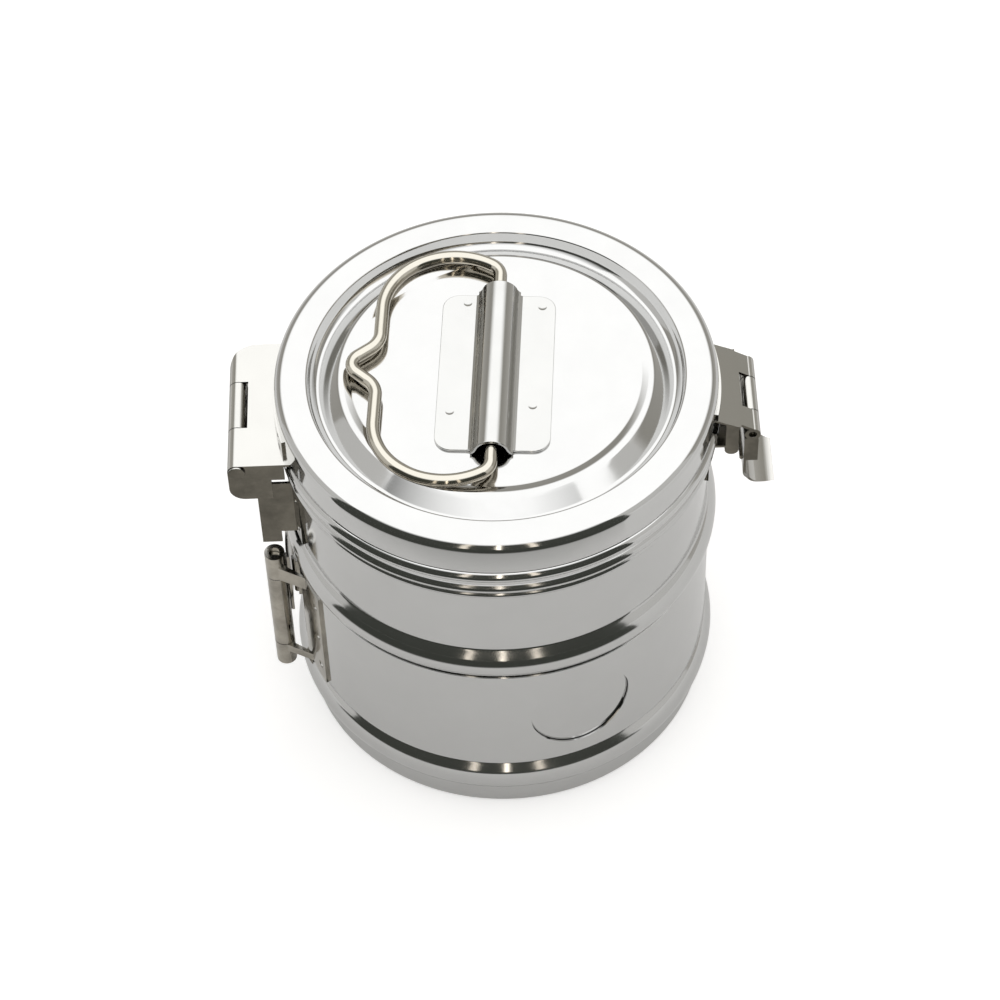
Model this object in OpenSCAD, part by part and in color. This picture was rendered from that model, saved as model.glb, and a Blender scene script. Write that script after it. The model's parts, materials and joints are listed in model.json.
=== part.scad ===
// Sterilization drum: a round steel drum with a hinged lid, a side latch,
// a folding wire handle and a turning vent band closed by a lever clasp.
// Millimetres. Origin at the centre of the base on the floor. +Z is up,
// the lid hinge lies at -X, the latch at +X and the front at -Y.

/* [Drum] */
// Outside diameter of the drum wall
drum_d = 150; // [140:1:170]
// Thickness of the drum sheet
drum_sheet = 0.8; // [0.6:0.1:1]
// Radius of the rounded base edge
base_edge_r = 3; // [2:0.5:4]
// Height of the raised middle of the base above the foot ring
base_recess = 2; // [1:0.5:3]
// Width of the foot ring that meets the floor
foot_w = 10; // [6:1:14]
// Height of the lower bead's crest
lower_bead_z = 18.5; // [17:0.5:19]
// Distance from the seat ridge down to the upper bead's crest
upper_bead_drop = 45.5; // [44:0.5:47]
// How far the two beads stand out of the wall
bead_rise = 3.4; // [2.5:0.1:3.5]
// Height of each bead on the wall
bead_w = 15; // [13:0.5:15]
// Depth of the seat ridge, where the lid closes, below the mouth
seat_drop = 15; // [13:0.5:17]
// How far that ridge stands out
seat_rise = 3; // [2.4:0.1:3.2]
// Distance from the seat ridge down to the small ridge
line_drop = 4.6; // [4.5:0.1:5]
// How far the small ridge stands out
line_rise = 1.7; // [1:0.1:1.8]
// Radius lost between the drum wall and the neck inside the lid
neck_step = 0.8; // [0.6:0.1:1.4]
// Height of the drum without its lid
mouth_z = 149; // [136:1:166]

/* [Vents] */
// Band left above and below each round window
window_margin = 7.5; // [5:0.5:10]
// Angle of the front window round the drum
window_turn = -69.3; // [-72:0.1:-66]
// Angle that the band turns from shut to open
vent_turn = 32; // [31:0.5:36]
// Diameter of one vent hole in the drum wall
vent_d = 3.6; // [2:0.2:4]
// Gap between the outermost vent holes and the window's edge
vent_inset = 3.2; // [2:0.2:5]

/* [Vent band] */
// Thickness of the band
band_sheet = 0.6; // [0.5:0.1:0.7]
// Gap between the drum wall and the band
band_gap = 0.3; // [0.3:0.05:0.4]
// Gap between the band and each bead
band_edge_gap = 1; // [0.8:0.1:2]
// Angle left open between the band's two ends
band_split = 5; // [3:0.5:6]

/* [Band clasp] */
// Angle of the clasp's barrel round the drum
clasp_turn = -167.3; // [-168:0.1:-160]
// Outside diameter of the clasp's barrel
clasp_barrel_d = 7.5; // [7:0.1:7.6]
// Diameter of the clasp's pin
clasp_pin_d = 4; // [3:0.1:4.4]
// Distance of the barrel's centre from the drum axis past the wall
clasp_reach = 9.7; // [9.4:0.1:10]
// How far the barrel stands below the band
clasp_below = 7; // [4:0.5:9]
// How far the barrel stands above the band
clasp_above = 4; // [1:0.5:6]
// Length of each fixed knuckle
clasp_knuckle = 12; // [10:0.5:14]
// Thickness of the clasp's sheet
clasp_sheet = 1; // [0.8:0.1:1.1]
// Angle that the fixed leaf covers on the band
clasp_leaf_angle = 14; // [12:0.5:16]
// Gap between the lever's plate and each fixed knuckle
lever_inset = 4; // [3:0.5:7]
// Angle that the lever's plate covers
lever_angle = 19; // [17:0.5:20]
// Gap between the closed lever and the clasp's leaf, in radius
lever_gap = 2.2; // [2.2:0.05:2.4]
// Angle that the catch covers on the band
catch_angle = 9; // [7:0.5:10]
// How far the catch stops short of the lever's plate at each end
catch_inset = 6; // [2:0.5:9]

/* [Lid] */
// How far the lid's outer face stands outside the drum wall
lid_gap = 2.6; // [2.4:0.05:2.8]
// Thickness of the lid sheet
lid_sheet = 0.8; // [0.6:0.1:0.9]
// Height of the lid from its lower edge to its flat outer ring
lid_h = 21; // [20.5:0.5:24]
// Radius of the lid's shoulder
shoulder_r = 3.5; // [2.5:0.1:4]
// Gap between the seat ridge and the lid's lower edge
lid_seat_gap = 0.8; // [0.7:0.1:1.3]
// Height of the rolled bead above the lid's lower edge
rim_bead_rise = 4; // [3.8:0.1:4.2]
// Radius of the rolled bead's section
rim_bead_r = 2.6; // [2.3:0.1:2.6]
// How far the rolled bead stands out of the lid's wall
rim_bead_out = 1.4; // [1.2:0.1:1.6]
// Width of the lid's outer ring, from its outer face to the groove
lid_ring_w = 11.6; // [10.5:0.1:12.5]
// Width of the groove's steep outer slope
groove_slope_w = 3.5; // [3:0.1:4]
// Depth of the groove below the outer ring
groove_depth = 5.9; // [5:0.1:6.2]
// Width of the groove's gentle inner slope
groove_rise_w = 6.7; // [6:0.1:7.5]
// Width of the low step between that slope and the flat middle panel
panel_edge_w = 5.3; // [5:0.1:6]
// Depth of the middle panel below the outer ring
panel_drop = 1.5; // [1.2:0.1:1.6]

/* [Handle] */
// Diameter of the handle wire
wire_d = 4.7; // [4:0.1:4.8]
// Turn of the handle and its saddle on the lid
saddle_turn = -4; // [-8:0.5:8]
// Length of the saddle plate
saddle_len = 71; // [66:1:72]
// Width of the saddle plate
saddle_w = 40; // [34:1:42]
// Thickness of the saddle sheet
saddle_sheet = 1; // [0.8:0.1:1.1]
// Corner radius of the saddle plate
saddle_corner = 6; // [3:0.5:8]
// Outside diameter of the arch pressed into the saddle
arch_d = 13; // [12.8:0.1:14]
// Length of the arch
arch_len = 74; // [73:1:76]
// Height of the handle's turning line above the lid panel
axle_rise = 3.7; // [3.6:0.05:3.75]
// Length of straight wire on each side of the middle
axle_half = 42.4; // [42:0.1:43]
// Radius of the first bend beside the saddle
elbow_r = 6; // [5:0.5:7]
// Turn of the first bend
elbow_angle = 58; // [54:1:60]
// Radius of the large bend of each lobe
lobe_r = 25; // [24:0.5:25.5]
// Radius of the bend that starts the middle tip
tip_out_r = 9; // [8:0.5:9.5]
// Straight wire on each side of the tip
tip_run = 5.2; // [4:0.2:6]
// Radius of the bend at the tip itself
tip_in_r = 5; // [4:0.5:5.5]
// Slope of the wire beside the tip
tip_angle = 50; // [46:1:54]
// Diameter of a spot weld
weld_d = 3; // [2:0.1:3.4]
// Depth of a spot weld's dimple
weld_dimple = 0.25; // [0.1:0.05:0.3]

/* [Hinge] */
// Distance of the hinge line from the drum axis past the wall
hinge_reach = 16.2; // [16:0.1:16.6]
// Length of the hinge
hinge_len = 56; // [52:1:58]
// Outside diameter of the hinge barrel
hinge_barrel_d = 6.5; // [6:0.1:6.6]
// Diameter of the hinge pin
hinge_pin_d = 3.2; // [2.6:0.1:3.4]
// Thickness of the hinge sheet
hinge_sheet = 1; // [0.8:0.1:1]
// Length of the middle knuckle
hinge_knuckle = 20.6; // [18:0.2:24]
// Depth of the end cheeks below the plate's top
cheek_drop = 18; // [15:0.5:18.5]
// Radius of the plate's rear outer corner
plate_corner = 10; // [7:0.5:11]
// Radius of the cheek's lower corner
cheek_corner = 5.5; // [4:0.5:6]
// Height of the flange that holds the plate to the lid wall
lid_flange_h = 5; // [4:0.5:6]
// Width of the bracket on the drum
bracket_w = 40; // [36:1:42]
// Gap between the bracket's side walls and the small ridge
bracket_ridge_gap = 2.7; // [2:0.1:4]
// Height of the bracket's side walls
bracket_wall_h = 27; // [20:0.5:28]
// How far the bracket's plate and its narrow walls hang below its side walls
bracket_tail = 6; // [3:0.5:8]
// Width of the flanges that hold the bracket to the drum
bracket_flange = 7; // [6:0.5:9]
// Diameter of the hinge pin's head
hinge_head_d = 6; // [5:0.1:6.2]
// Thickness of the hinge pin's head
hinge_head_h = 0.8; // [0.5:0.1:1.2]

/* [Latch] */
// Distance of the latch line from the drum axis past the wall
latch_reach = 14; // [13.8:0.1:14.4]
// Height of the latch line above the lid's lower edge
latch_rise = 1.5; // [1.3:0.1:1.7]
// Outside diameter of the latch barrel
latch_barrel_d = 5.6; // [5.2:0.1:5.8]
// Diameter of the latch pin
latch_pin_d = 2.8; // [2.4:0.1:3]
// Length of the latch barrel
latch_len = 34; // [32:0.5:34]
// Length of the middle knuckle
latch_knuckle = 15.2; // [12:0.2:17]
// How far the pin ends inside the barrel
pin_sink = 2; // [1:0.5:3]
// Thickness of the latch sheet
latch_sheet = 1; // [0.8:0.1:1]
// Height of the latch bracket's end cheeks
latch_cheek_h = 12; // [9:0.5:12.5]
// Height of the flange on the lid wall
latch_flange_h = 7; // [6:0.5:8]
// Width of the swinging lever
latch_lever_w = 32; // [28:0.5:32.4]
// Depth of the lever's side cheeks
latch_side_w = 5; // [4:0.2:5.4]
// Height of the lever's side cheeks
latch_side_h = 12; // [10:0.5:13]
// Length of the flat part of the lever below the pin
latch_flat = 22; // [21.5:0.5:24]
// Radius of the finger tab's curl
tab_r = 14; // [12:0.5:15]
// Turn of the finger tab's curl
tab_angle = 82; // [60:1:86]
// Width of the finger tab
tab_w = 26; // [20:1:30]
// Depth of the snap rib on the lever
snap_rise = 0.8; // [0.4:0.1:0.9]
// Distance from the latch line down to the keeper's rib
keeper_drop = 16.5; // [16:0.1:17]
// Diameter of the keeper's rib
keeper_d = 5; // [4:0.2:5.2]
// Width of the keeper
keeper_w = 20; // [14:1:24]
// Height of the keeper's base plate
keeper_h = 13.5; // [12:0.5:14]

/* [Clearances] */
// Radial clearance of a pin in the knuckles
pin_gap = 0.05; // [0.02:0.01:0.1]
// Gap between the lid's bead and the sheet that stands beside it
cheek_gap = 0.5; // [0.4:0.1:0.8]
// Gap between neighbouring knuckles
knuckle_gap = 0.3; // [0.2:0.05:0.4]
// Gap between the lever's snap rib and the keeper
snap_gap = 0.4; // [0.3:0.05:0.5]

/* [Hidden] */
$fn = 96;
fine = 24;
over = 1;
proud = 0.1;
drum_r = drum_d / 2;
neck_r = drum_r - neck_step;
lid_r = drum_r + lid_gap;
wire_r = wire_d / 2;
wire_swell = 0.06;
seat_w = 5.4;
line_w = 3.4;
seat_z = mouth_z - seat_drop;
line_z = seat_z - line_drop;
upper_bead_z = seat_z - upper_bead_drop;
bead_low = lower_bead_z + bead_w / 2;
bead_high = upper_bead_z - bead_w / 2;
band_in = drum_r + band_gap;
band_out = band_in + band_sheet;
band_z0 = bead_low + band_edge_gap;
band_z1 = bead_high - band_edge_gap;
band_mid = (band_z0 + band_z1) / 2;
band_h = band_z1 - band_z0;
window_d = band_h - 2 * window_margin;
vent_rings = 2;
vent_pitch = (window_d / 2 - vent_d / 2 - vent_inset) / vent_rings;
clasp_low = band_z0 - clasp_below;
clasp_high = band_z1 + clasp_above;
lever_h = clasp_high - clasp_low - 2 * clasp_knuckle - 2 * lever_inset;
catch_h = lever_h - 2 * catch_inset;
lid_low = seat_z + seat_w / 2 + lid_seat_gap;
lid_top = lid_low + lid_h;
rim_bead_z = lid_low + rim_bead_rise;
groove_out = lid_r - lid_ring_w;
groove_floor = groove_out - groove_slope_w;
groove_in = groove_floor - groove_rise_w;
panel_r = groove_in - panel_edge_w;
panel_z = lid_top - panel_drop;
hump_z = lid_top - panel_drop / 3;
saddle_top = panel_z + saddle_sheet;
axle_z = panel_z + axle_rise;
arch_r = arch_d / 2;
weld_r = weld_d / 2;
hinge_x = -(drum_r + hinge_reach);
hinge_r = hinge_barrel_d / 2;
plate_low = rim_bead_z + rim_bead_r;
plate_top = plate_low + hinge_sheet;
hinge_z = plate_top - hinge_r + proud;
hinge_edge = hinge_x - hinge_r;
hinge_y = hinge_len / 2;
lid_edge_r = lid_r + rim_bead_out;
cheek_x = -(drum_r + bead_rise + 1.1);
cheek_step = 8;
cheek_end_x = -sqrt(pow(lid_edge_r, 2) - pow(hinge_y - hinge_sheet, 2)) - cheek_gap;
bracket_x = hinge_x + hinge_r + 2;
bracket_end_x = -(drum_r + bead_rise + cheek_gap);
bracket_y = bracket_w / 2;
bracket_top = hinge_z - hinge_r - 1.5;
bracket_wall_high = line_z - line_w / 2 - bracket_ridge_gap;
bracket_wall_low = bracket_wall_high - bracket_wall_h;
bracket_low = bracket_wall_low - bracket_tail;
lid_flange_a = asin((hinge_y - plate_corner * 0.6) / lid_r);
latch_x = drum_r + latch_reach;
latch_r = latch_barrel_d / 2;
latch_y = latch_len / 2;
latch_z = lid_low + latch_rise;
keeper_z = latch_z - keeper_drop;
latch_flange_a = asin((latch_y + latch_sheet / 2) / lid_r);
latch_lever_y = latch_lever_w / 2;
latch_bracket_x = latch_x - latch_r - 2.2;
lever_x = latch_x - latch_r + proud;
keeper_x = lever_x - snap_rise - snap_gap - keeper_d / 2;
keeper_top = keeper_z + keeper_d / 2 + 2 * latch_sheet;
keeper_ear = 5;
clasp_r = drum_r + clasp_reach;
clasp_barrel_r = clasp_barrel_d / 2;
web_out = 11;
finger_edge_r = 1.3;
catch_roll_r = 1.2;
lever_in = band_out + clasp_sheet + lever_gap;
hinge_lid_welds_at = [for (k = [-0.78, -0.28, 0.28, 0.78]) k * lid_flange_a];
latch_welds_at = [for (k = [-0.68, -0.23, 0.23, 0.68]) k * latch_flange_a];
saddle_welds_at = [for (k = [[-0.56, 0.893], [0.765, 0.856], [-0.76, -0.521], [0.67, -0.434]])
    [k[0] * saddle_w / 2, k[1] * saddle_len / 2]];
steel = [0.78, 0.79, 0.8];
bright_steel = [0.84, 0.85, 0.86];
warm_steel = [0.7, 0.68, 0.64];
weld_steel = [0.6, 0.6, 0.58];

// Points on an arc in a flat section, from angle a0 to a1.
function arc(c, r, a0, a1, n) = [for (i = [0 : n]) c + r * [cos(a0 + (a1 - a0) * i / n), sin(a0 + (a1 - a0) * i / n)]];

// Points up a bead on a wall of radius r, centred on height z.
function bead(r, z, rise, w) =
    let (s = (w * w / 4 + rise * rise) / (2 * rise), a = atan2(w / 2, s - rise))
    arc([r + rise - s, z], s, -a, a, fine);

function unit(v) = v / norm(v);
function side(p, i) = let (d = unit(p[i + 1] - p[i])) [-d[1], d[0]];

// The path p moved to its left by t, with mitred corners.
function inset(p, t) = [for (i = [0 : len(p) - 1])
    let (a = side(p, max(i - 1, 0)), b = side(p, min(i, len(p) - 2)))
    p[i] + t * (a + b) / (1 + a * b)];
function backward(p) = [for (i = [len(p) - 1 : -1 : 0]) p[i]];

// A sheet of thickness t whose outer face follows the path p.
module sheet(p, t) polygon(concat(p, backward(inset(p, t))));

module ring(r0, r1, z0, z1, a0 = 0, a1 = 360)
    rotate([0, 0, a0])
        rotate_extrude(angle = a1 - a0)
            translate([r0, z0])
                square([r1 - r0, z1 - z0]);

module rod_y(x, z, r, y0, y1)
    translate([x, y0, z])
        rotate([-90, 0, 0])
            cylinder(r = r, h = y1 - y0);

// A flat outline in X and Z, extruded from y0 to y1.
module slab_y(y0, y1)
    translate([0, y1, 0])
        rotate([90, 0, 0])
            linear_extrude(y1 - y0)
                children();

// A round bar that points away from the drum axis at angle a and height z.
module radial(a, z, r, r0, r1)
    rotate([0, 0, a])
        translate([r0, 0, z])
            rotate([0, 90, 0])
                cylinder(r = r, h = r1 - r0);

// A spot weld in a sheet that lies on a round wall between radii r0 and r1.
module round_weld(a, z, r0, r1)
    intersection() {
        radial(a, z, weld_r, r0 - over, r1 + over);
        ring(r0, r1 - weld_dimple, z - weld_d, z + weld_d);
    }

module drum_shell() color(steel) {
    outer = concat(
        [[0, base_recess], [drum_r - base_edge_r - foot_w - 2 * base_recess, base_recess],
            [drum_r - base_edge_r - foot_w, 0]],
        arc([drum_r - base_edge_r, base_edge_r], base_edge_r, -90, 0, fine),
        bead(drum_r, lower_bead_z, bead_rise, bead_w),
        bead(drum_r, upper_bead_z, bead_rise, bead_w),
        [[drum_r, seat_z + seat_w / 2], [neck_r, seat_z + seat_w / 2 + neck_step], [neck_r, mouth_z]]);
    difference() {
        union() {
            rotate_extrude()
                sheet(outer, drum_sheet);
            rotate_extrude()
                polygon(concat([[drum_r - drum_sheet / 2, line_z - line_w / 2]],
                    bead(drum_r, line_z, line_rise, line_w),
                    [[drum_r - drum_sheet / 2, line_z + line_w / 2]]));
            rotate_extrude()
                polygon(concat([[drum_r - drum_sheet / 2, seat_z - seat_w / 2]],
                    bead(drum_r, seat_z, seat_rise, seat_w),
                    [[drum_r - drum_sheet / 2, seat_z + seat_w / 2]]));
        }
        for (opposite = [0, 180])
            vent_group(window_turn + vent_turn + opposite);
    }
}

// One round group of vent holes through the drum wall.
module vent_group(a)
    for (row = [-vent_rings : vent_rings])
        for (k = [0 : 2 * vent_rings - abs(row)])
            radial(a + (k - (2 * vent_rings - abs(row)) / 2) * vent_pitch / drum_r * 180 / PI,
                band_mid + row * vent_pitch * sin(60), vent_d / 2, drum_r - 2 * over, drum_r + over);

module vent_band() color(bright_steel)
    difference() {
        ring(band_in, band_out, band_z0, band_z1, clasp_turn + band_split / 2,
            clasp_turn + 360 - band_split / 2);
        for (opposite = [0, 180])
            radial(window_turn + opposite, band_mid, window_d / 2, drum_r - window_d / 8, band_out + over);
    }

module clasp_bore()
    translate([clasp_r, 0, clasp_low - over])
        cylinder(r = clasp_pin_d / 2 + pin_gap, h = clasp_high - clasp_low + 2 * over);

module clasp_knuckles(z0, z1)
    translate([clasp_r, 0, z0])
        cylinder(r = clasp_barrel_r, h = z1 - z0);

function on_round(r, y) = [sqrt(r * r - y * y), y];

// The web that joins a clasp barrel to a plate at radius r on the side given.
module clasp_web(way, r, z0, z1)
    translate([0, 0, z0 + proud])
        linear_extrude(z1 - z0 - 2 * proud)
            polygon([[clasp_r, way * (clasp_barrel_r - proud)], on_round(r + clasp_sheet * 0.7, way * web_out),
                on_round(r + clasp_sheet * 0.3, way * (web_out - 1)),
                [clasp_r - clasp_barrel_r * 0.6, way * clasp_barrel_r * 0.7], [clasp_r, way * clasp_pin_d / 2]]);

module clasp_leaf() color(steel)
    rotate([0, 0, clasp_turn])
        difference() {
            union() {
                ring(band_out, band_out + clasp_sheet, band_z0 + 1, band_z1 - 1, band_split / 2 + 1,
                    clasp_leaf_angle + band_split / 2);
                for (end = [[clasp_low, clasp_low + clasp_knuckle], [clasp_high - clasp_knuckle, clasp_high]]) {
                    clasp_knuckles(end[0], end[1]);
                    clasp_web(1, band_out, max(end[0], band_z0 + 1), min(end[1], band_z1 - 1));
                }
            }
            clasp_bore();
            for (z = clasp_weld_heights())
                radial(clasp_leaf_angle, z, weld_r, band_out - over, band_out + clasp_sheet + over);
        }

function clasp_weld_heights() = [for (k = [-1, 0, 1]) band_mid + k * band_h / 3];

module clasp_lever() color(steel)
    rotate([0, 0, clasp_turn])
        difference() {
            union() {
                clasp_knuckles(clasp_low + clasp_knuckle + knuckle_gap, clasp_high - clasp_knuckle - knuckle_gap);
                clasp_web(-1, lever_in, band_mid - lever_h / 2, band_mid + lever_h / 2);
                ring(lever_in, lever_in + clasp_sheet, band_mid - lever_h / 2, band_mid + lever_h / 2,
                    -lever_angle, -5.5);
                rotate([0, 0, -lever_angle])
                    translate([lever_in + clasp_sheet, 0, band_mid - lever_h / 2])
                        cylinder(r = finger_edge_r, h = lever_h);
            }
            clasp_bore();
        }

module clasp_pin() color(bright_steel)
    rotate([0, 0, clasp_turn])
        translate([clasp_r, 0, clasp_low + pin_sink])
            cylinder(r = clasp_pin_d / 2, h = clasp_high - clasp_low - 2 * pin_sink);

module clasp_catch() color(steel)
    rotate([0, 0, clasp_turn])
        difference() {
            union() {
                ring(band_out, band_out + clasp_sheet, band_mid - catch_h / 2, band_mid + catch_h / 2,
                    -catch_angle - 7, -7);
                rotate([0, 0, -9])
                    translate([band_out + catch_roll_r + proud, 0, band_mid - catch_h / 2 + proud])
                        cylinder(r = catch_roll_r, h = catch_h - 2 * proud);
            }
            for (z = [-5, 5])
                radial(-catch_angle - 3, band_mid + z, weld_r, band_out - over, band_out + clasp_sheet + over);
        }

module clasp_welds() color(weld_steel)
    rotate([0, 0, clasp_turn]) {
        for (z = clasp_weld_heights())
            round_weld(clasp_leaf_angle, z, band_out, band_out + clasp_sheet);
        for (z = [-5, 5])
            round_weld(-catch_angle - 3, band_mid + z, band_out, band_out + clasp_sheet);
    }

module lid_shell() color(bright_steel) {
    outer = concat(
        [[lid_r, lid_low]],
        arc([lid_r - shoulder_r, lid_top - shoulder_r], shoulder_r, 0, 90, fine),
        [[groove_out, lid_top], [groove_floor, lid_top - groove_depth]],
        arc([groove_in - 1.6, hump_z - 2.6], 2.6, 52, 90, 6),
        [[panel_r + 2.6, hump_z - 0.1], [panel_r + 0.6, panel_z + 0.1], [panel_r, panel_z], [0, panel_z]]);
    rotate_extrude()
        union() {
            sheet(outer, lid_sheet);
            intersection() {
                translate([lid_edge_r - rim_bead_r, rim_bead_z])
                    circle(r = rim_bead_r);
                translate([lid_r - lid_sheet / 2, rim_bead_z - rim_bead_r - over])
                    square([2 * rim_bead_r, 2 * (rim_bead_r + over)]);
            }
        }
}

module saddle_outline()
    translate([-saddle_w / 2 + saddle_corner, -saddle_len / 2 + saddle_corner, 0])
        for (x = [0, saddle_w - 2 * saddle_corner])
            for (y = [0, saddle_len - 2 * saddle_corner])
                translate([x, y])
                    circle(r = saddle_corner);

module handle_saddle() color(bright_steel)
    rotate([0, 0, saddle_turn])
        difference() {
            union() {
                translate([0, 0, panel_z])
                    linear_extrude(saddle_sheet) {
                        saddle_outline();
                        square([saddle_w - 2 * saddle_corner, saddle_len], center = true);
                        square([saddle_w, saddle_len - 2 * saddle_corner], center = true);
                    }
                intersection() {
                    rod_y(0, saddle_top, arch_r, -arch_len / 2, arch_len / 2);
                    translate([-arch_d, -arch_len, panel_z])
                        cube([2 * arch_d, 2 * arch_len, arch_d]);
                }
            }
            rod_y(0, saddle_top, arch_r - saddle_sheet, -arch_len, arch_len);
            translate([-arch_r + saddle_sheet, -arch_len, panel_z - over])
                cube([arch_d - 2 * saddle_sheet, 2 * arch_len, saddle_sheet + over]);
            for (p = saddle_welds_at)
                translate([p[0], p[1], panel_z - over])
                    cylinder(r = weld_r, h = saddle_sheet + 2 * over);
        }

module saddle_welds() color(weld_steel)
    rotate([0, 0, saddle_turn])
        for (p = saddle_welds_at)
            translate([p[0], p[1], panel_z])
                cylinder(r = weld_r, h = saddle_sheet - weld_dimple);

// One half of the handle's wire, from the end of its axle to the tip.
module wire_half() {
    elbow_c = [-elbow_r, axle_half];
    p1 = elbow_c + elbow_r * [cos(elbow_angle), sin(elbow_angle)];
    lobe_c = p1 - lobe_r * [cos(elbow_angle), sin(elbow_angle)];
    lobe_x = lobe_c[0] - lobe_r;
    tip_drop = (tip_out_r + tip_in_r) * sin(tip_angle) + tip_run * cos(tip_angle);
    out_c = [lobe_x - tip_out_r, tip_drop];
    p2 = out_c + tip_out_r * [cos(tip_angle), -sin(tip_angle)];
    p3 = p2 - tip_run * [sin(tip_angle), cos(tip_angle)];
    in_c = p3 + tip_in_r * [cos(tip_angle), -sin(tip_angle)];
    tip = in_c - [tip_in_r, 0];
    for (p = [[0, axle_half], p1, [lobe_x, lobe_c[1]], [lobe_x, tip_drop], p2, p3, tip])
        translate(p)
            rotate([90, 0, 25])
                sphere(r = wire_r + wire_swell);
    wire_bend(elbow_c, elbow_r, 0, elbow_angle);
    wire_bend(lobe_c, lobe_r, elbow_angle, 180);
    rod_y(lobe_x, 0, wire_r, tip_drop, lobe_c[1]);
    wire_bend(out_c, tip_out_r, -tip_angle, 0);
    translate(p3)
        rotate([0, 0, -tip_angle])
            rod_y(0, 0, wire_r, 0, tip_run);
    wire_bend(in_c, tip_in_r, 180 - tip_angle, 180);
}

module wire_bend(c, r, a0, a1)
    translate(c)
        rotate([0, 0, a0])
            rotate_extrude(angle = a1 - a0)
                translate([r, 0])
                    circle(r = wire_r);

module handle_wire() color(warm_steel)
    translate([0, 0, axle_z])
        rotate([0, 0, saddle_turn]) {
            rod_y(0, 0, wire_r, -axle_half, axle_half);
            wire_half();
            mirror([0, 1, 0])
                wire_half();
        }

module hinge_lid_leaf() color(bright_steel)
    difference() {
        union() {
            translate([hinge_x, -hinge_y, plate_low])
                cube([drum_r / 2, hinge_len, hinge_sheet]);
            rod_y(hinge_x, hinge_z, hinge_r, -hinge_y, hinge_y);
            for (y = [-hinge_y, hinge_y - hinge_sheet])
                slab_y(y, y + hinge_sheet)
                    cheek_outline();
            ring(lid_r - over / 2, lid_r + lid_sheet, plate_low + proud, plate_top + lid_flange_h,
                180 - lid_flange_a, 180 + lid_flange_a);
        }
        cylinder(r = lid_r, h = plate_top + lid_flange_h + over);
        translate([hinge_edge - over, -hinge_knuckle / 2 - knuckle_gap, 0])
            cube([2 * hinge_r + over + 0.4, hinge_knuckle + 2 * knuckle_gap, plate_top + over]);
        translate([0, 0, plate_top - cheek_drop - over])
            rear_corner(cheek_drop + 2 * over);
        rod_y(hinge_x, hinge_z, hinge_pin_d / 2 + pin_gap, -hinge_y - over, hinge_y + over);
        for (a = hinge_lid_welds_at)
            radial(180 + a, plate_top + lid_flange_h / 2, weld_r, lid_r - over, lid_r + lid_sheet + over);
    }

// End view of the hinge cheek.
module cheek_outline()
    difference() {
        union() {
            translate([hinge_edge, plate_top - cheek_drop])
                square([cheek_x - hinge_edge, cheek_drop - hinge_r]);
            translate([hinge_x, plate_top - cheek_drop])
                square([cheek_x - hinge_x, cheek_drop - proud]);
            translate([hinge_x, plate_top - cheek_step])
                square([cheek_end_x - hinge_x, cheek_step - proud]);
        }
        translate([hinge_edge - proud, plate_top - cheek_drop - proud])
            difference() {
                square(cheek_corner);
                translate([cheek_corner + proud, cheek_corner + proud])
                    circle(r = cheek_corner);
            }
    }

// Waste outside the rounded rear outer corner of the hinge plate.
module rear_corner(h)
    difference() {
        translate([hinge_edge - over, hinge_y - plate_corner, 0])
            cube([plate_corner + over, plate_corner + over, h]);
        translate([hinge_edge + plate_corner, hinge_y - plate_corner, -over])
            cylinder(r = plate_corner, h = h + 2 * over);
    }

module hinge_lid_welds() color(weld_steel)
    for (a = hinge_lid_welds_at)
        round_weld(180 + a, plate_top + lid_flange_h / 2, lid_r, lid_r + lid_sheet);

module hinge_body_bracket() color(steel) {
    flange_at = bracket_flange_at();
    difference() {
        union() {
            translate([bracket_x, -bracket_y, bracket_low])
                cube([hinge_sheet, bracket_w, bracket_top - bracket_low]);
            slab_y(-hinge_knuckle / 2, hinge_knuckle / 2)
                polygon([[bracket_x, bracket_top - 4], [bracket_x + hinge_sheet, bracket_top - 4],
                    [bracket_x + hinge_sheet, hinge_z - 1], [hinge_x + hinge_r - 0.6, hinge_z + 1],
                    [hinge_x, hinge_z], [hinge_x, hinge_z - hinge_r + proud]]);
            rod_y(hinge_x, hinge_z, hinge_r, -hinge_knuckle / 2, hinge_knuckle / 2);
            for (way = [-1, 1]) {
                translate([bracket_x, way * (bracket_y - hinge_sheet / 2) - hinge_sheet / 2, bracket_wall_low])
                    cube([-bracket_x - drum_r * 0.9, hinge_sheet, bracket_wall_high - bracket_wall_low]);
                translate([bracket_x, way * (bracket_y - hinge_sheet / 2) - hinge_sheet / 2, bracket_low])
                    cube([bracket_end_x - bracket_x, hinge_sheet, bracket_tail + over]);
                rotate([0, 0, 180 + way * flange_at])
                    translate([drum_r - over, -bracket_flange / 2, bracket_wall_low + proud])
                        cube([over + hinge_sheet, bracket_flange, bracket_wall_high - bracket_wall_low - 2 * proud]);
            }
        }
        translate([0, 0, bracket_low])
            cylinder(r = drum_r, h = bracket_top);
        rod_y(hinge_x, hinge_z, hinge_pin_d / 2 + pin_gap, -hinge_y, hinge_y);
        for (w = bracket_welds())
            radial(w[0], w[1], weld_r, drum_r - over, drum_r + hinge_sheet + over);
    }
}

function bracket_flange_at() = asin((bracket_y + bracket_flange / 2 - hinge_sheet / 2) / drum_r);
function bracket_welds() = let (a = bracket_flange_at())
    [for (way = [-1, 1]) for (z = [bracket_wall_low + 2 * weld_d, bracket_wall_high - 2 * weld_d])
        [180 + way * a, z]];

module hinge_body_welds() color(weld_steel)
    for (w = bracket_welds())
        round_weld(w[0], w[1], drum_r, drum_r + hinge_sheet);

module hinge_pin() color(warm_steel) {
    rod_y(hinge_x, hinge_z, hinge_pin_d / 2, -hinge_y, hinge_y - plate_corner / 2);
    rod_y(hinge_x, hinge_z, hinge_head_d / 2, -hinge_y - hinge_head_h, -hinge_y);
}

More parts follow.
